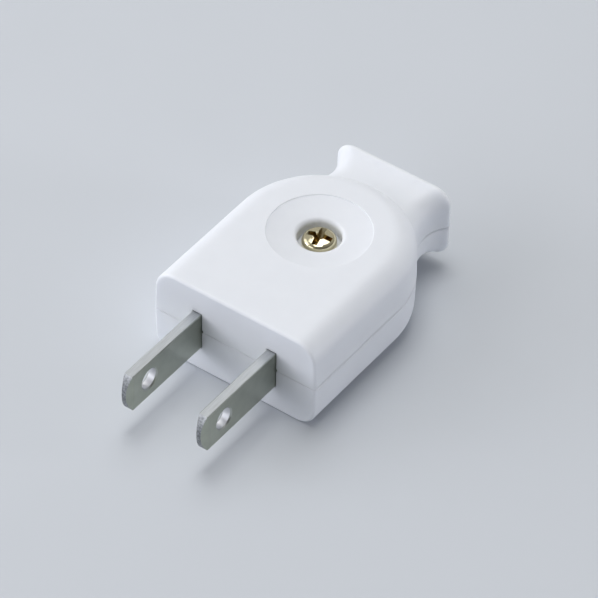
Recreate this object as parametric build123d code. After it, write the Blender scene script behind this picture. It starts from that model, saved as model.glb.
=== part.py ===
from build123d import *
import os
from math import asin, cos, pi, radians, sin, sqrt, tan

# A rewirable plug with two flat blades. Lengths are in millimetres and angles in degrees. The origin is in
# the middle of the mating face, between the blades and on the parting plane. The blades point along -Y, the
# cord leaves along +Y, and the plug lies on its base with +Z up. The case is drawn around what it holds.

# Contact blades
blade_pitch = 12.7
blade_width = 6.3
blade_thickness = 1.5
blade_reach = 16.5
blade_tip_rise = 1.1
blade_tip_thickness = 0.7
blade_lead_in = 1.3
blade_edge_chamfer = 0.12
blade_hole_diameter = 3.2
blade_hole_inset = 4.8
blade_hole_chamfer = 0.2

# Terminal tab folded from each blade
fold_gap = 0.6
fold_length = 3.8
fold_inner_radius = 0.5
relief_slit = 0.4
tab_side_margin = 0.1
tab_end_margin = 0.4
tab_corner_radius = 0.8

# Terminal screws and washers
terminal_thread_diameter = 3.5
terminal_head_diameter = 6.0
terminal_head_height = 2.3
terminal_head_side = 1.6
terminal_tip_gap = 0.55
clamp_washer_side = 6.8
clamp_washer_thickness = 0.8
clamp_washer_corner_radius = 0.8
spring_washer_diameter = 6.0
spring_washer_thickness = 0.9
spring_washer_slit = 0.5
spring_washer_slit_angle = 20.0
washer_bore_clearance = 0.15

# Case screw and nut
case_thread_diameter = 3.0
case_head_diameter = 5.0
case_head_height = 2.0
case_head_side = 1.5
case_tip_gap = 0.3
screw_hole_clearance = 0.2
nut_across_flats = 5.5
nut_height = 2.4
nut_bevel_angle = 30.0
nut_bore_chamfer = 0.2

# Details that the screws share
thread_clearance = 0.05
thread_end_chamfer = 0.35
head_edge_radius = 0.9
cross_span = 4.4
cross_depth = 1.5
cross_wing = 0.9
cross_floor_wing = 0.45
case_cross_angle = 12.0
terminal_cross_angle = 40.0

# Case walls and the room inside them
side_wall = 2.0
front_wall = 2.6
roof_wall = 2.2
floor_wall = 2.0
terminal_room = 1.95
boss_gap = 0.25
boss_wall = 1.4
cavity_edge_radius = 1.2
barrier_thickness = 1.4
blade_slot_clearance = 0.1
slot_notch = 0.3
seat_post_height = 2.35
seat_post_wall = 0.9
seat_bore_clearance = 0.35
stop_rib_width = 4.0
stop_rib_thickness = 1.2
stop_rib_clearance = 0.1
nut_recess = 1.5
nut_clearance = 0.1

# Case, outside
case_draft = 1.6
top_edge_radius = 3.4
bottom_edge_radius = 3.0
front_edge_radius = 0.45
cover_parting_chamfer = 0.3
base_parting_chamfer = 0.16
dish_diameter = 15.0
dish_sphere_radius = 32.0
dish_rim_step = 0.12
dish_rim_radius = 0.1
well_clearance = 0.7
well_lip_radius = 0.65
screw_seat_depth = 2.85

# Flared cord end
neck_length = 0.55
waist_width = 16.4
waist_top = 5.6
waist_bottom = 5.0
waist_edge_radius = 3.0
flare_length = 4.4
flare_side_rise = 1.5
flare_top_rise = 0.8
flare_bottom_rise = 0.5
flare_edge_radius = 2.6
flare_lip_radius = 0.6
shoulder_sink = 0.05
neck_sections = 4
flare_sections = 5
lip_sections = 4

# Cord passage
passage_width = 9.0
passage_height = 6.0
passage_corner_radius = 2.0
passage_mouth_radius = 0.8
grip_rib_height = 0.7
grip_rib_base = 1.2
grip_rib_pitch = 2.0
grip_rib_inset = 2.0

# Locating pins
front_pin_diameter = 1.2
neck_pin_diameter = 1.6
pin_length = 1.2
pin_clearance = 0.1

# Places and sizes along X, from the blades out to the case
blade_x = blade_pitch / 2
tab_width = clamp_washer_side + 2 * tab_side_margin
half_cavity = blade_x + tab_width / 2 + terminal_room
half_width = half_cavity + side_wall
front_pin_x = (blade_x + half_width) / 2
neck_pin_x = (waist_width + passage_width) / 4

# Places and sizes along Z, from the blades' lower edge down to the base and up again
blade_half = blade_width / 2
tab_bottom_z = -blade_half
tab_top_z = tab_bottom_z + blade_thickness
fold_z = tab_top_z + fold_inner_radius
clamp_top_z = tab_top_z + clamp_washer_thickness
spring_top_z = clamp_top_z + spring_washer_thickness
floor_z = tab_bottom_z - seat_post_height
half_height = floor_wall - floor_z
roof_z = half_height - roof_wall
blade_shoulder_z = roof_z - cavity_edge_radius
screw_seat_z = half_height - screw_seat_depth
nut_bottom_z = nut_recess - half_height
nut_seat_z = nut_bottom_z + nut_height
case_screw_length = screw_seat_z - nut_bottom_z - case_tip_gap
terminal_screw_length = spring_top_z - floor_z - terminal_tip_gap

# Places and sizes along Y, from the mating face to the end of the flare
fold_start = front_wall + fold_gap
web_end = fold_start + fold_length
tab_start = web_end + relief_slit
tab_length = clamp_washer_side + 2 * tab_end_margin
terminal_y = tab_start + tab_length / 2
tab_end = tab_start + tab_length
well_diameter = case_head_diameter + 2 * well_clearance
boss_diameter = well_diameter + 2 * boss_wall
screw_distance = tab_end + boss_gap + boss_diameter / 2
waist_distance = screw_distance + half_width + neck_length
case_length = waist_distance + flare_length
lip_distance = case_length - flare_lip_radius


def on_screw_axis(z=0.0):
    return Pos(0, screw_distance, z)


def shoulder_radius():
    """Hollow arc from the waist that touches the rear arch, sunk a little way into it."""
    arch = half_width - shoulder_sink
    waist = waist_width / 2
    rise = waist_distance - screw_distance
    return (waist**2 + rise**2 - arch**2) / (2 * (arch - waist))


def shoulder_start():
    """How far along Y the hollow arc leaves the rear arch."""
    arch = half_width - shoulder_sink
    rise = waist_distance - screw_distance
    return screw_distance + arch * rise / (arch + shoulder_radius())


def hollow_flare(waist, rise, y):
    """Half size of the flare at y: a hollow arc from the waist, then a round lip into the end face."""
    lip = flare_lip_radius
    run = flare_length - lip
    along = y - waist_distance
    arc = (rise**2 - 2 * rise * lip + run**2) / (2 * rise)
    if along <= run * arc / (arc + lip):
        return waist + arc - sqrt(arc**2 - along**2)
    return waist + rise - lip + sqrt(abs(lip**2 - (along - run) ** 2))


def neck_section(y):
    """Rounded section of the cord end at y, in its own plane."""
    if y < waist_distance:
        arc = shoulder_radius()
        side = waist_width / 2 + arc - sqrt(arc**2 - (waist_distance - y) ** 2)
        top = waist_top
        bottom = waist_bottom
        corner = waist_edge_radius
    else:
        side = hollow_flare(waist_width / 2, flare_side_rise, y)
        top = hollow_flare(waist_top, flare_top_rise, y)
        bottom = hollow_flare(waist_bottom, flare_bottom_rise, y)
        along = (y - waist_distance) / flare_length
        corner = waist_edge_radius + (flare_edge_radius - waist_edge_radius) * along
    place = Plane((0, y, (top - bottom) / 2), x_dir=(1, 0, 0), z_dir=(0, 1, 0))
    return place * RectangleRounded(2 * side, top + bottom, corner)


def cord_end():
    """The waisted and flared end that the cord leaves by, with a root inside the case body."""
    start = shoulder_start()
    neck_step = (waist_distance - start) / neck_sections
    flare_step = (lip_distance - waist_distance) / flare_sections
    lip_step = pi / 2 / lip_sections
    stations = [start + neck_step * i for i in range(neck_sections)]
    stations += [waist_distance + flare_step * i for i in range(flare_sections)]
    stations += [lip_distance + flare_lip_radius * sin(lip_step * i) for i in range(lip_sections + 1)]
    sections = [neck_section(y) for y in stations]
    root = extrude(sections[0], amount=-(start - screw_distance))
    return loft(sections) + root


def half_body(edge_radius):
    """Half of the straight body above z = 0: drafted walls, half-round rear, mating face nearly sharp."""
    length = screw_distance + edge_radius
    plan = Pos(0, length / 2 - edge_radius) * Rectangle(2 * half_width, length)
    plan += Pos(0, screw_distance) * Circle(half_width)
    body = extrude(plan, amount=half_height, taper=case_draft)
    body -= Pos(0, -edge_radius, half_height / 2) * Box(4 * half_width, 2 * edge_radius, 2 * half_height)
    top_edges = body.faces().sort_by(Axis.Z)[-1].edges()
    body = fillet(top_edges.filter_by(lambda edge: edge.center().Y > front_edge_radius), edge_radius)
    front_edges = body.faces().sort_by(Axis.Y)[0].edges()
    return fillet(front_edges.filter_by(lambda edge: edge.center().Z > front_edge_radius), front_edge_radius)


def shell_half(keep):
    """Upper or lower half of the case as a solid, its outer edge broken along the parting line.

    The upper half's edge stays sharp along the mating face, so the joint is a fine line there.
    """
    if keep == Keep.TOP:
        half = half_body(top_edge_radius) + split(cord_end(), bisect_by=Plane.XY, keep=keep)
        broken = chamfer(half.faces().sort_by(Axis.Z)[0].edges(), cover_parting_chamfer)
        return broken + split(half, bisect_by=Plane.XZ.offset(-front_edge_radius), keep=Keep.TOP)
    body = mirror(half_body(bottom_edge_radius), about=Plane.XY)
    half = body + split(cord_end(), bisect_by=Plane.XY, keep=keep)
    return chamfer(half.faces().sort_by(Axis.Z)[-1].edges(), base_parting_chamfer)


def cavity(end_z):
    """Wiring space of one half, from the parting plane to its roof or floor at end_z."""
    depth = screw_distance - front_wall
    plan = Pos(0, front_wall + depth / 2) * Rectangle(2 * half_cavity, depth)
    plan += Pos(0, screw_distance) * Circle(half_cavity)
    plan = fillet(plan.vertices().group_by(Axis.Y)[0], cavity_edge_radius)
    space = extrude(plan, amount=abs(end_z), dir=(0, 0, end_z))
    inner_face = space.faces().sort_by(Axis.Z)[-1 if end_z > 0 else 0]
    return fillet(inner_face.edges(), cavity_edge_radius)


def cord_passage():
    """Way through the cord end, from the wiring space to beyond the end face."""
    start = screw_distance + half_cavity - side_wall
    section = RectangleRounded(passage_width, passage_height, passage_corner_radius)
    section = Plane((0, start, 0), x_dir=(1, 0, 0), z_dir=(0, 1, 0)) * section
    return extrude(section, amount=case_length + side_wall - start)


def round_mouth(half):
    """Round the passage's edge where it opens in the end face."""
    reach_x = (passage_width + waist_width) / 4
    reach_z = (passage_height / 2 + waist_bottom) / 2
    edges = half.faces().sort_by(Axis.Y)[-1].edges()
    edges = edges.filter_by(lambda edge: abs(edge.center().X) < reach_x)
    edges = edges.filter_by(lambda edge: abs(edge.center().Z) < reach_z)
    return fillet(edges, passage_mouth_radius)


def grip_rib(y, side):
    """Wedge across the cord passage that bites on the cord, on the upper (1) or lower (-1) half."""
    wall_z = passage_height / 2
    root_z = wall_z + grip_rib_height
    before = y - grip_rib_base / 2
    after = y + grip_rib_base / 2
    outline = Polyline(
        (0, before, side * wall_z),
        (0, y, side * (wall_z - grip_rib_height)),
        (0, after, side * wall_z),
        (0, after, side * root_z),
        (0, before, side * root_z),
        close=True,
    )
    return extrude(make_face(outline), amount=passage_width / 2, dir=(1, 0, 0), both=True)


def grip_ribs(side):
    """As many ribs as the passage has room for. The upper ones stand between the lower ones."""
    room = case_length - grip_rib_inset - grip_rib_base / 2 - (screw_distance + half_cavity)
    lower_count = int(room / grip_rib_pitch) + 1
    last_y = case_length - grip_rib_inset
    if side < 0:
        return [grip_rib(last_y - grip_rib_pitch * i, side) for i in range(lower_count)]
    return [grip_rib(last_y - grip_rib_pitch * (i + 0.5), side) for i in range(lower_count - 1)]


def blade_slots():
    """Openings for both blades through the mating wall."""
    width = blade_thickness + 2 * blade_slot_clearance
    height = blade_width + 2 * blade_slot_clearance
    slot = Box(width, 2 * front_wall, height)
    return [Pos(side * blade_x, front_wall / 2, 0) * slot for side in (-1, 1)]


def slot_notches():
    """Small notches beside each blade where the halves' corners are broken at the parting plane."""
    span = blade_thickness + 2 * blade_slot_clearance + 2 * slot_notch
    wedge = Rot(0, 45, 0) * Box(span / sqrt(2), 2 * front_wall, span / sqrt(2))
    return [Pos(side * blade_x, front_wall / 2, 0) * wedge for side in (-1, 1)]


def pins(clearance):
    """Locating pins down from the parting plane, or their sockets when given a clearance."""
    length = pin_length + clearance
    front_pin = Cylinder(front_pin_diameter / 2 + clearance, length)
    neck_pin = Cylinder(neck_pin_diameter / 2 + clearance, length)
    found = [Pos(side * front_pin_x, front_wall / 2, -length / 2) * front_pin for side in (-1, 1)]
    found += [Pos(side * neck_pin_x, waist_distance, -length / 2) * neck_pin for side in (-1, 1)]
    return found


def barrier(end_z):
    """Wall between the two terminals, from the mating wall to the screw boss."""
    length = screw_distance - front_wall
    wall = Box(barrier_thickness, length, abs(end_z))
    return Pos(0, front_wall + length / 2, end_z / 2) * wall


def screw_boss(end_z):
    """Round boss on the screw's axis, from the parting plane to the roof or floor at end_z."""
    return on_screw_axis(end_z / 2) * Cylinder(boss_diameter / 2, abs(end_z))


def screw_hole(middle_z):
    """Clearance hole for the case screw, through one half."""
    radius = case_thread_diameter / 2 + screw_hole_clearance
    return on_screw_axis(middle_z) * Cylinder(radius, 2 * half_height)


def dish():
    """Shallow round dish with a small upright step at its rim, as the shape to cut from the cover."""
    rim = dish_diameter / 2
    sphere_z = half_height - dish_rim_step + sqrt(dish_sphere_radius**2 - rim**2)
    bowl = on_screw_axis(sphere_z) * Sphere(dish_sphere_radius)
    step = on_screw_axis(half_height) * Cylinder(rim, 2 * dish_rim_step)
    return on_screw_axis(half_height) * Cylinder(rim, dish_diameter) & (bowl + step)


def closed_rims(shape):
    """Full circles among a shape's edges, from the lowest to the highest."""
    rims = shape.edges().filter_by(GeomType.CIRCLE).filter_by(lambda edge: edge.is_closed)
    return rims.sort_by(Axis.Z)


def cut_dish(cover):
    """Sink the dish into the cover and round its rim."""
    cover -= dish()
    return fillet(closed_rims(cover)[-1], dish_rim_radius)


def cut_screw_well(cover):
    """Sink the case screw's well into the dish and round its upper edge."""
    well = Cylinder(well_diameter / 2, screw_seat_depth)
    cover -= on_screw_axis(half_height - screw_seat_depth / 2) * well
    rims = closed_rims(cover).filter_by(lambda edge: edge.radius < boss_diameter / 2)
    return fillet(rims[-1], well_lip_radius)


def upper_cover():
    cover = shell_half(Keep.TOP)
    cover -= cavity(roof_z)
    cover += screw_boss(roof_z)
    cover += barrier(roof_z)
    cover = round_mouth(cover - cord_passage())
    cover += grip_ribs(1)
    cover = cut_screw_well(cut_dish(cover))
    cover -= screw_hole(half_height / 2)
    cover -= blade_slots()
    cover -= slot_notches()
    cover += pins(0)
    return cover


def lower_base():
    base = shell_half(Keep.BOTTOM)
    base -= cavity(floor_z)
    base += screw_boss(floor_z)
    base += barrier(floor_z)
    base = round_mouth(base - cord_passage())
    base += grip_ribs(-1)
    base += terminal_seat(-1)
    base += terminal_seat(1)
    base -= screw_hole(-half_height / 2)
    base -= nut_pocket()
    base -= blade_slots()
    base -= slot_notches()
    base -= pins(pin_clearance)
    return base


def terminal_seat(side):
    """Post under a blade's tab, hollow for the screw's tip, and a rib that stops the tab's rear edge."""
    bore = terminal_thread_diameter / 2 + seat_bore_clearance
    post = Cylinder(bore + seat_post_wall, seat_post_height) - Cylinder(bore, seat_post_height)
    rib_height = tab_top_z - floor_z
    rib = Box(stop_rib_width, stop_rib_thickness, rib_height)
    rib_y = tab_end + stop_rib_clearance + stop_rib_thickness / 2
    return [
        Pos(side * blade_x, terminal_y, floor_z + seat_post_height / 2) * post,
        Pos(side * blade_x, rib_y, floor_z + rib_height / 2) * rib,
    ]


def hexagon(across_flats):
    return RegularPolygon(across_flats / 2, 6, major_radius=False)


def nut_pocket():
    """Hexagonal pocket up from the underside of the base to the nut's seat."""
    section = on_screw_axis(-half_height) * hexagon(nut_across_flats + 2 * nut_clearance)
    return extrude(section, amount=nut_seat_z + half_height)


def blade_fold():
    """The bend along the blade's lower edge and the flat strip beside it."""
    half_thickness = blade_thickness / 2
    tab_half = tab_width / 2
    bend_x = half_thickness + fold_inner_radius
    inner_sag = fold_inner_radius * sqrt(0.5)
    outer_sag = (fold_inner_radius + blade_thickness) * sqrt(0.5)
    profile = Polyline((-half_thickness, 0, fold_z), (half_thickness, 0, fold_z))
    profile += ThreePointArc(
        (half_thickness, 0, fold_z),
        (bend_x - inner_sag, 0, fold_z - inner_sag),
        (bend_x, 0, tab_top_z),
    )
    profile += Polyline(
        (bend_x, 0, tab_top_z),
        (tab_half, 0, tab_top_z),
        (tab_half, 0, tab_bottom_z),
        (bend_x, 0, tab_bottom_z),
    )
    profile += ThreePointArc(
        (bend_x, 0, tab_bottom_z),
        (bend_x - outer_sag, 0, fold_z - outer_sag),
        (-half_thickness, 0, fold_z),
    )
    return extrude(Pos(0, fold_start, 0) * make_face(profile), amount=fold_length, dir=(0, 1, 0))


def blade_tab():
    """The flat tab with the terminal screw's hole, and the link from the fold to it past the relief slit."""
    inner_x = blade_thickness / 2 + fold_inner_radius
    link_width = tab_width / 2 - inner_x
    link_length = relief_slit + tab_corner_radius
    plan = Pos(0, terminal_y) * Rectangle(tab_width, tab_length)
    plan = fillet(plan.vertices(), tab_corner_radius)
    plan += Pos(inner_x + link_width / 2, web_end + link_length / 2) * Rectangle(link_width, link_length)
    plan -= Pos(0, terminal_y) * Circle(terminal_thread_diameter / 2)
    return extrude(Pos(0, 0, tab_bottom_z) * plan, amount=blade_thickness)


def lead_in_wedge():
    """What the blade's right face loses where it thins towards its tip."""
    thinning = (blade_thickness - blade_tip_thickness) / 2
    tip_x = blade_tip_thickness / 2 - thinning
    outer_x = blade_thickness / 2 + thinning
    tip_y = -blade_reach - blade_lead_in
    root_y = 2 * blade_lead_in - blade_reach
    plan = make_face(Polyline((tip_x, tip_y), (outer_x, root_y), (outer_x, tip_y), close=True))
    return extrude(plan, amount=blade_width, both=True)


def blade_strip():
    """The strip on edge: round tip thinned on both faces, hole, shoulder behind the wall and folding edge."""
    corner_y = blade_tip_rise - blade_reach
    shoulder_y = front_wall + blade_slot_clearance
    slit_y = fold_start - relief_slit
    outline = Polyline(
        (0, corner_y, blade_half),
        (0, shoulder_y, blade_half),
        (0, shoulder_y, blade_shoulder_z),
        (0, web_end, blade_shoulder_z),
        (0, web_end, fold_z),
        (0, fold_start, fold_z),
        (0, fold_start, fold_z + relief_slit),
        (0, slit_y, fold_z + relief_slit),
        (0, slit_y, -blade_half),
        (0, corner_y, -blade_half),
    )
    outline += ThreePointArc((0, corner_y, -blade_half), (0, -blade_reach, 0), (0, corner_y, blade_half))
    strip = extrude(make_face(outline), amount=blade_thickness / 2, dir=(1, 0, 0), both=True)
    outside = strip.edges().filter_by(Axis.Y).filter_by(lambda edge: edge.center().Y < 0)
    strip = chamfer(outside, blade_edge_chamfer)
    strip -= [lead_in_wedge(), mirror(lead_in_wedge(), about=Plane.YZ)]
    hole_place = Pos(0, blade_hole_inset - blade_reach, 0) * Rot(0, 90, 0)
    strip -= hole_place * Cylinder(blade_hole_diameter / 2, 2 * blade_thickness)
    return chamfer(closed_rims(strip), blade_hole_chamfer)


def right_hand_blade():
    return Pos(blade_x, 0, 0) * (blade_strip() + blade_fold() + blade_tab())


def pan_screw(thread, length, head_diameter, head_height, head_side, cross_angle):
    """Pan head screw standing on its seat: head above z = 0, plain shank of the thread's size below."""
    shank = thread / 2 - thread_clearance
    head = head_diameter / 2
    rise = head_height - head_side
    crown = (head**2 + rise**2) / (2 * rise)
    half_turn = asin(head / crown) / 2
    crown_middle = (crown * sin(half_turn), 0, head_height - crown + crown * cos(half_turn))
    outline = Polyline(
        (0, 0, head_height),
        (0, 0, -length),
        (shank - thread_end_chamfer, 0, -length),
        (shank, 0, thread_end_chamfer - length),
        (shank, 0, 0),
        (head, 0, 0),
        (head, 0, head_side),
    )
    outline += ThreePointArc((head, 0, head_side), crown_middle, (0, 0, head_height))
    screw = revolve(make_face(outline), Axis.Z)
    screw = fillet(closed_rims(screw)[-1], head_edge_radius)
    return screw - Pos(0, 0, head_height) * Rot(0, 0, cross_angle) * cross_recess()


def cross_recess():
    """Four tapered wings around a tapered core, down from z = 0."""
    mouth = Rectangle(cross_span, cross_wing)
    floor = Pos(0, 0, -cross_depth) * Rectangle(cross_wing, cross_floor_wing)
    wing = loft([mouth, floor])
    core = Pos(0, 0, -cross_depth / 2) * Cone(cross_floor_wing / 2, cross_wing, cross_depth)
    return wing + Rot(0, 0, 90) * wing + core


def hexagon_nut():
    """Nut with its corners bevelled on both sides, standing on z = 0."""
    flat = nut_across_flats / 2
    corner = flat / cos(pi / 6)
    bevel = (corner - flat) * tan(radians(nut_bevel_angle))
    outline = Polyline(
        (0, 0, 0),
        (flat, 0, 0),
        (corner, 0, bevel),
        (corner, 0, nut_height - bevel),
        (flat, 0, nut_height),
        (0, 0, nut_height),
        close=True,
    )
    nut = extrude(hexagon(nut_across_flats), amount=nut_height) & revolve(make_face(outline), Axis.Z)
    nut -= Cylinder(case_thread_diameter / 2, 3 * nut_height)
    return chamfer(closed_rims(nut), nut_bore_chamfer)


def clamp_washer():
    plate = RectangleRounded(clamp_washer_side, clamp_washer_side, clamp_washer_corner_radius)
    plate -= Circle(terminal_thread_diameter / 2 + washer_bore_clearance)
    return extrude(plate, amount=clamp_washer_thickness)


def spring_washer():
    """Split ring, with the slit slanting as it does on a coiled washer."""
    radius = spring_washer_diameter / 2
    ring = Circle(radius) - Circle(terminal_thread_diameter / 2 + washer_bore_clearance)
    washer = extrude(ring, amount=spring_washer_thickness)
    slit = Box(spring_washer_slit, spring_washer_diameter, spring_washer_diameter)
    return washer - Pos(0, radius, spring_washer_thickness / 2) * Rot(0, spring_washer_slit_angle, 0) * slit


def write(name, shape):
    shape.label = name
    export_step(shape, f"parts/{name}.step")


os.makedirs("parts", exist_ok=True)

write("upper_cover", upper_cover())
write("lower_base", lower_base())

case_screw = pan_screw(
    case_thread_diameter,
    case_screw_length,
    case_head_diameter,
    case_head_height,
    case_head_side,
    case_cross_angle,
)
write("case_screw", on_screw_axis(screw_seat_z) * case_screw)
write("case_nut", on_screw_axis(nut_bottom_z) * hexagon_nut())

right_blade = right_hand_blade()
write("right_blade", right_blade)
write("left_blade", mirror(right_blade, about=Plane.YZ))

terminal_screw = pan_screw(
    terminal_thread_diameter,
    terminal_screw_length,
    terminal_head_diameter,
    terminal_head_height,
    terminal_head_side,
    terminal_cross_angle,
)
for name, side in (("left", -1), ("right", 1)):
    at_terminal = Pos(side * blade_x, terminal_y, 0)
    write(f"{name}_clamp_washer", at_terminal * Pos(0, 0, tab_top_z) * clamp_washer())
    write(f"{name}_spring_washer", at_terminal * Pos(0, 0, clamp_top_z) * spring_washer())
    write(f"{name}_terminal_screw", at_terminal * Pos(0, 0, spring_top_z) * terminal_screw)
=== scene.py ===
from math import cos, radians, sin

import bpy
from mathutils import Matrix, Vector


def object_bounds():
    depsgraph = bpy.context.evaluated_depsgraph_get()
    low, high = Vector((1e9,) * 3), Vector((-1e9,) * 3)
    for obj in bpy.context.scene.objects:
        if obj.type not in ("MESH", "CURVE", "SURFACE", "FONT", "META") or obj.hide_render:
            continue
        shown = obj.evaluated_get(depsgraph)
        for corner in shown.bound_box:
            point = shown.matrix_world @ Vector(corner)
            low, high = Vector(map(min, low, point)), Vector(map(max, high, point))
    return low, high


# Looks of the flat pin plug. Lengths are in metres unless a name ends in _mm, and angles are in degrees.
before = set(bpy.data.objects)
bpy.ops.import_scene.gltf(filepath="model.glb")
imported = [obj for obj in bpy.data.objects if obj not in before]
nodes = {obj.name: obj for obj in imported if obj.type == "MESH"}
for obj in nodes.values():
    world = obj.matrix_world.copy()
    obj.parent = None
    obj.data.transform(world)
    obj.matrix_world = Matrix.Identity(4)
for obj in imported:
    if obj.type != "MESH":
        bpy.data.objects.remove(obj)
cad_low, cad_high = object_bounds()

# Camera, as it stood when the photograph was taken. Its azimuth is counted from -Y towards +X.
camera_azimuth = 35.21
camera_elevation = 43.477
camera_roll = 1.255
camera_distance = 0.5823
camera_target = Vector((0.001319, 0.013387, 0.0))
photo_size_px = 598
focal_length_px = 4182.4
sensor_width_mm = 36.0

# Sky: its level on average, and how fast that rises along each axis. It is brighter to the left and the back.
sky_colour = (1.0, 1.0, 1.0)
sky_level = 0.30
sky_slope = (-0.20, 0.10, 0.0)

# Round soft boxes that face the plug, each by its azimuth counted from +X towards +Y, its elevation, its
# width, its power in watts and its colour
lamp_distance = 1.0
cool_white = (0.98, 0.985, 1.04)
warm_white = (1.0, 1.0, 0.98)
lamps = {
    "left_lamp": (198.0, 32.0, 0.8, 1.6, cool_white),
    "low_left_lamp": (214.0, 13.0, 0.6, 2.7, cool_white),
    "front_lamp": (248.0, 18.0, 0.7, 2.1, cool_white),
    "overhead_lamp": (180.0, 85.0, 0.45, 2.5, warm_white),
    "back_left_lamp": (125.0, 66.0, 0.7, 2.4, warm_white),
    "low_right_lamp": (26.0, 8.0, 0.25, 2.25, cool_white),
}

# Floor. Here and in the finishes below, a mottle, cloud, streak or scuff is a darker patch, given as a share
# of the colour, and a pair of roughnesses is that of the smoothest and the roughest patch.
floor_size = 4.0
floor_colour = (0.615, 0.645, 0.690)
floor_mottle = 0.99
floor_roughness = 0.9
floor_specular = 0.1

# Moulded plastic of the case
plastic_colour = (0.80, 0.825, 0.875)
plastic_mottle = 0.985
plastic_roughness = (0.44, 0.54)
plastic_skin_mm = 0.0015
plastic_ior = 1.45
plastic_scatter = 0.5
plastic_scatter_mm = 1.0

# Nickel plating of the blades: on their flats, their cut edges and the wall of the hole
nickel_colour = (0.42, 0.447, 0.385)
nickel_edge_colour = (0.47, 0.49, 0.51)
nickel_hole_colour = (0.65, 0.66, 0.69)
nickel_cloud = 0.88
nickel_edge_streak = 0.80
nickel_hole_cloud = 0.92
nickel_scuffs = (0.75, 0.4)
nickel_roughness = 0.28
nickel_edge_roughness = 0.48
nickel_hole_roughness = 0.5
grain_stretch = (1.0, 0.06, 1.0)
grain_depth_mm = 0.0015

# On the blades: where the hole and the tip lie along Y, and how far their finish reaches and fades
blade_hole_y_mm = -11.7
blade_hole_reach_mm = 1.85
blade_hole_fade_mm = 0.1
blade_tip_y_mm = -15.3
blade_tip_fade_mm = 0.4

# Brass plating of the case screw, and the painted shade that darkens it down in the recess of the head
brass_colour = (0.80, 0.73, 0.50)
brass_cloud = 0.86
# Painted shade: a dark brown brass colour laid into the recess, with its cloud and how far the recess reaches
brass_painted_shade = (0.52, 0.40, 0.20)
painted_shade_cloud = 0.7
brass_roughness = (0.08, 0.16)
brass_dents_mm = 0.012
painted_shade_reach_mm = 1.2

# Small metal pieces inside the case
zinc_colour = (0.60, 0.61, 0.62)
zinc_roughness = (0.25, 0.40)
spring_colour = (0.42, 0.42, 0.43)
spring_roughness = (0.35, 0.50)
washer_roughness = (0.28, 0.42)
turned_cloud = 0.86
turning_marks_mm = 0.003


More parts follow.
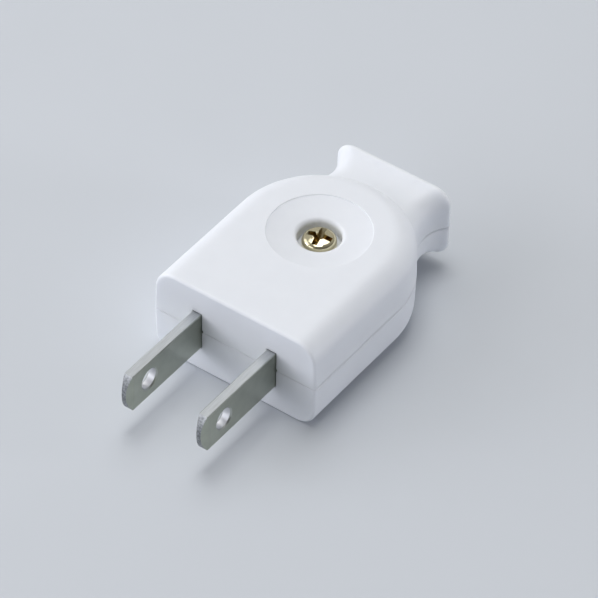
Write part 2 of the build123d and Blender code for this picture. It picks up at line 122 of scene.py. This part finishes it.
class Finish:
    """A node material under construction, with coordinates in millimetres."""

    def __init__(self, name):
        self.material = bpy.data.materials.new(name)
        self.material.use_nodes = True
        self.tree = self.material.node_tree
        self.shader = self.tree.nodes["Principled BSDF"]
        place = self.add("ShaderNodeTexCoord")
        scale = self.add("ShaderNodeVectorMath")
        scale.operation = "SCALE"
        scale.inputs["Scale"].default_value = 1000.0
        self.join(place.outputs["Object"], scale.inputs[0])
        self.millimetres = scale.outputs[0]

    def add(self, kind):
        return self.tree.nodes.new(kind)

    def join(self, output, socket):
        self.tree.links.new(output, socket)

    def paint(self, name, output):
        """Lead an output into one of the shader's sockets."""
        self.join(output, self.shader.inputs[name])

    def fix(self, name, value):
        """Set one of the shader's sockets to a value that is the same all over."""
        self.shader.inputs[name].default_value = value

    def stretched(self, factors):
        """Coordinates multiplied by a factor for each axis, to draw a pattern out along one of them."""
        node = self.add("ShaderNodeVectorMath")
        node.operation = "MULTIPLY"
        node.inputs[1].default_value = factors
        self.join(self.millimetres, node.inputs[0])
        return node.outputs[0]

    def noise(self, per_mm, detail=3.0, roughness=0.55, vector=None):
        """Soft noise with so many cells to a millimetre."""
        node = self.add("ShaderNodeTexNoise")
        node.inputs["Scale"].default_value = per_mm
        node.inputs["Detail"].default_value = detail
        node.inputs["Roughness"].default_value = roughness
        self.join(vector or self.millimetres, node.inputs["Vector"])
        return node.outputs["Fac"]

    def ramp(self, value, low, high, start=0.3, end=0.7):
        """Value stretched from start..end onto low..high."""
        node = self.add("ShaderNodeMapRange")
        node.inputs["From Min"].default_value = start
        node.inputs["From Max"].default_value = end
        node.inputs["To Min"].default_value = low
        node.inputs["To Max"].default_value = high
        self.join(value, node.inputs["Value"])
        return node.outputs["Result"]

    def patches(self, per_mm, detail=3.0):
        """Factor that drifts between 0 and 1 in soft patches."""
        return self.ramp(self.noise(per_mm, detail), 0.0, 1.0)

    def blend(self, factor, first, second):
        """Two colours mixed by a factor."""
        node = self.add("ShaderNodeMix")
        node.data_type = "RGBA"
        node.inputs["A"].default_value = (*first, 1.0)
        node.inputs["B"].default_value = (*second, 1.0)
        self.join(factor, node.inputs["Factor"])
        return node.outputs["Result"]

    def mix(self, factor, first, second):
        """Two colour outputs mixed by a factor."""
        node = self.add("ShaderNodeMix")
        node.data_type = "RGBA"
        self.join(first, node.inputs["A"])
        self.join(second, node.inputs["B"])
        self.join(factor, node.inputs["Factor"])
        return node.outputs["Result"]

    def turn_into(self, factor, value, number):
        """A value output that becomes the number where the factor is 1."""
        node = self.add("ShaderNodeMix")
        self.join(value, node.inputs["A"])
        node.inputs["B"].default_value = number
        self.join(factor, node.inputs["Factor"])
        return node.outputs["Result"]

    def product(self, first, second):
        node = self.add("ShaderNodeMath")
        node.operation = "MULTIPLY"
        self.join(first, node.inputs[0])
        self.join(second, node.inputs[1])
        return node.outputs[0]

    def along_y(self):
        split = self.add("ShaderNodeSeparateXYZ")
        self.join(self.millimetres, split.inputs[0])
        return split.outputs["Y"]

    def distance_from_x_line(self, y):
        """Distance from the line along X through y, z = 0."""
        shift = self.add("ShaderNodeVectorMath")
        shift.operation = "SUBTRACT"
        shift.inputs[1].default_value = (0.0, y, 0.0)
        flatten = self.add("ShaderNodeVectorMath")
        flatten.operation = "MULTIPLY"
        flatten.inputs[1].default_value = (0.0, 1.0, 1.0)
        length = self.add("ShaderNodeVectorMath")
        length.operation = "LENGTH"
        self.join(self.millimetres, shift.inputs[0])
        self.join(shift.outputs[0], flatten.inputs[0])
        self.join(flatten.outputs[0], length.inputs[0])
        return length.outputs["Value"]

    def facing_across(self):
        """1 on the faces that look along X, 0 on those at right angles to it."""
        place = self.add("ShaderNodeTexCoord")
        split = self.add("ShaderNodeSeparateXYZ")
        size = self.add("ShaderNodeMath")
        size.operation = "ABSOLUTE"
        self.join(place.outputs["Normal"], split.inputs[0])
        self.join(split.outputs["X"], size.inputs[0])
        return size.outputs[0]

    def shelter(self, reach_mm):
        """0 deep in a recess of the piece, 1 in the open."""
        node = self.add("ShaderNodeAmbientOcclusion")
        node.only_local = True
        node.inputs["Distance"].default_value = reach_mm / 1000.0
        return node.outputs["AO"]

    def bump(self, height, depth_mm):
        node = self.add("ShaderNodeBump")
        node.inputs["Strength"].default_value = 1.0
        node.inputs["Distance"].default_value = depth_mm / 1000.0
        self.join(height, node.inputs["Height"])
        self.paint("Normal", node.outputs["Normal"])


def shade(colour, factor):
    return tuple(channel * factor for channel in colour)


def moulded_plastic():
    """White moulded plastic: faint mottling, a soft sheen and a very fine skin."""
    finish = Finish("moulded_plastic")
    mottle = finish.patches(per_mm=0.35, detail=2.0)
    finish.paint("Base Color", finish.blend(mottle, shade(plastic_colour, plastic_mottle), plastic_colour))
    finish.paint("Roughness", finish.ramp(finish.noise(per_mm=2.2), *plastic_roughness))
    finish.bump(finish.noise(per_mm=5.0, detail=4.0), plastic_skin_mm)
    finish.fix("IOR", plastic_ior)
    finish.fix("Subsurface Weight", plastic_scatter)
    finish.fix("Subsurface Radius", (1.0, 1.0, 1.0))
    finish.fix("Subsurface Scale", plastic_scatter_mm / 1000.0)
    return finish.material


def plated_strip():
    """Nickel-plated strip with a fine grain drawn along the blade.

    The cut edges are paler and rougher than the flats, the hole's wall is palest and the tip is scuffed.
    """
    finish = Finish("plated_strip")
    drawn = finish.stretched(grain_stretch)
    grain = finish.noise(per_mm=6.0, detail=5.0, roughness=0.6, vector=drawn)
    streak = finish.ramp(grain, 0.0, 1.0)
    cloud = finish.patches(per_mm=0.5)
    scuff = finish.ramp(finish.noise(per_mm=3.5, detail=4.0), 0.35, 1.0, start=0.35, end=0.6)
    flat = finish.blend(cloud, shade(nickel_colour, nickel_cloud), nickel_colour)
    edge = finish.blend(streak, shade(nickel_edge_colour, nickel_edge_streak), nickel_edge_colour)
    dark = finish.blend(scuff, *(shade(nickel_edge_colour, share) for share in nickel_scuffs))
    hole = finish.blend(cloud, shade(nickel_hole_colour, nickel_hole_cloud), nickel_hole_colour)

    tip_start = blade_tip_y_mm - blade_tip_fade_mm
    at_tip = finish.ramp(finish.along_y(), 1.0, 0.0, start=tip_start, end=blade_tip_y_mm)
    hole_end = blade_hole_reach_mm + blade_hole_fade_mm
    reach = finish.distance_from_x_line(blade_hole_y_mm)
    past_hole = finish.ramp(reach, 0.0, 1.0, start=blade_hole_reach_mm, end=hole_end)
    on_flat = finish.ramp(finish.facing_across(), 0.0, 1.0, start=0.3, end=0.9)

    edge = finish.mix(finish.product(at_tip, scuff), edge, dark)
    edge = finish.mix(past_hole, hole, edge)
    finish.paint("Base Color", finish.mix(on_flat, edge, flat))
    edge_roughness = finish.ramp(past_hole, nickel_hole_roughness, nickel_edge_roughness, start=0.0, end=1.0)
    finish.paint("Roughness", finish.turn_into(on_flat, edge_roughness, nickel_roughness))
    finish.bump(grain, grain_depth_mm)
    finish.fix("Metallic", 1.0)
    return finish.material


def polished_brass():
    """Bright brass plating, darkened with painted shade down in the recess."""
    finish = Finish("polished_brass")
    cloud = finish.patches(per_mm=1.2)
    bright = finish.blend(cloud, shade(brass_colour, brass_cloud), brass_colour)
    # Painted shade: the brass turns dark brown where ambient occlusion finds the recess of the head.
    recess_shade = finish.blend(cloud, brass_painted_shade, shade(brass_painted_shade, painted_shade_cloud))
    in_open = finish.ramp(finish.shelter(painted_shade_reach_mm), 0.0, 1.0, start=0.45, end=0.85)
    finish.paint("Base Color", finish.mix(in_open, recess_shade, bright))
    finish.paint("Roughness", finish.ramp(finish.noise(per_mm=4.0), *brass_roughness))
    finish.bump(finish.noise(per_mm=2.5), brass_dents_mm)
    finish.fix("Metallic", 1.0)
    return finish.material


def turned_metal(name, colour, roughness):
    """Plated screw or washer metal with fine irregular marks."""
    finish = Finish(name)
    cloud = finish.patches(per_mm=1.2)
    finish.paint("Base Color", finish.blend(cloud, shade(colour, turned_cloud), colour))
    finish.paint("Roughness", finish.ramp(finish.noise(per_mm=4.0), *roughness))
    finish.bump(finish.noise(per_mm=7.0, detail=4.0), turning_marks_mm)
    finish.fix("Metallic", 1.0)
    return finish.material


def floor_paper():
    """Pale matt paper."""
    finish = Finish("floor_paper")
    mottle = finish.patches(per_mm=0.05, detail=2.0)
    finish.paint("Base Color", finish.blend(mottle, shade(floor_colour, floor_mottle), floor_colour))
    finish.fix("Roughness", floor_roughness)
    finish.fix("Specular IOR Level", floor_specular)
    return finish.material


def dress(material, *names):
    for name in names:
        nodes[name].data.materials.clear()
        nodes[name].data.materials.append(material)


def make_floor():
    half = floor_size / 2
    height = cad_low.z
    corners = [(-half, -half, height), (half, -half, height), (half, half, height), (-half, half, height)]
    mesh = bpy.data.meshes.new("floor")
    mesh.from_pydata(corners, [], [(0, 1, 2, 3)])
    mesh.materials.append(floor_paper())
    floor = bpy.data.objects.new("floor", mesh)
    bpy.context.scene.collection.objects.link(floor)


def make_sky():
    """World whose strength changes evenly with direction."""
    world = bpy.data.worlds.new("sky")
    world.use_nodes = True
    tree = world.node_tree
    background = tree.nodes["Background"]
    background.inputs["Color"].default_value = (*sky_colour, 1.0)
    direction = tree.nodes.new("ShaderNodeTexCoord")
    slope = tree.nodes.new("ShaderNodeVectorMath")
    slope.operation = "DOT_PRODUCT"
    slope.inputs[1].default_value = sky_slope
    level = tree.nodes.new("ShaderNodeMath")
    level.operation = "ADD"
    level.inputs[1].default_value = sky_level
    tree.links.new(direction.outputs["Generated"], slope.inputs[0])
    tree.links.new(slope.outputs["Value"], level.inputs[0])
    tree.links.new(level.outputs["Value"], background.inputs["Strength"])
    bpy.context.scene.world = world


def make_lamp(name, azimuth, elevation, width, watts, colour):
    turn = radians(azimuth)
    rise = radians(elevation)
    direction = Vector((cos(rise) * cos(turn), cos(rise) * sin(turn), sin(rise)))
    lamp = bpy.data.lights.new(name, "AREA")
    lamp.shape = "DISK"
    lamp.size = width
    lamp.energy = watts
    lamp.color = colour
    holder = bpy.data.objects.new(name, lamp)
    holder.location = camera_target + lamp_distance * direction
    holder.rotation_euler = direction.to_track_quat("Z", "Y").to_euler()
    bpy.context.scene.collection.objects.link(holder)


def make_camera():
    azimuth = radians(camera_azimuth)
    elevation = radians(camera_elevation)
    roll = radians(camera_roll)
    back = Vector((sin(azimuth) * cos(elevation), -cos(azimuth) * cos(elevation), sin(elevation)))
    level_right = Vector((cos(azimuth), sin(azimuth), 0.0))
    level_up = back.cross(level_right)
    right = cos(roll) * level_right + sin(roll) * level_up
    up = cos(roll) * level_up - sin(roll) * level_right
    data = bpy.data.cameras.new("camera")
    data.sensor_width = sensor_width_mm
    data.lens = sensor_width_mm * focal_length_px / photo_size_px
    camera = bpy.data.objects.new("camera", data)
    turn = Matrix((right, up, back)).transposed().to_4x4()
    camera.matrix_world = Matrix.Translation(camera_target + camera_distance * back) @ turn
    bpy.context.scene.collection.objects.link(camera)
    bpy.context.scene.camera = camera


dress(moulded_plastic(), "upper_cover", "lower_base")
dress(plated_strip(), "left_blade", "right_blade")
dress(polished_brass(), "case_screw")
zinc_plate = turned_metal("zinc_plate", zinc_colour, zinc_roughness)
dress(zinc_plate, "case_nut", "left_terminal_screw", "right_terminal_screw")
spring_plate = turned_metal("spring_plate", spring_colour, spring_roughness)
dress(spring_plate, "left_spring_washer", "right_spring_washer")
washer_plate = turned_metal("washer_plate", nickel_colour, washer_roughness)
dress(washer_plate, "left_clamp_washer", "right_clamp_washer")

make_floor()
make_sky()
for lamp_name, lamp_settings in lamps.items():
    make_lamp(lamp_name, *lamp_settings)
make_camera()
bpy.context.scene.view_settings.view_transform = "Standard"
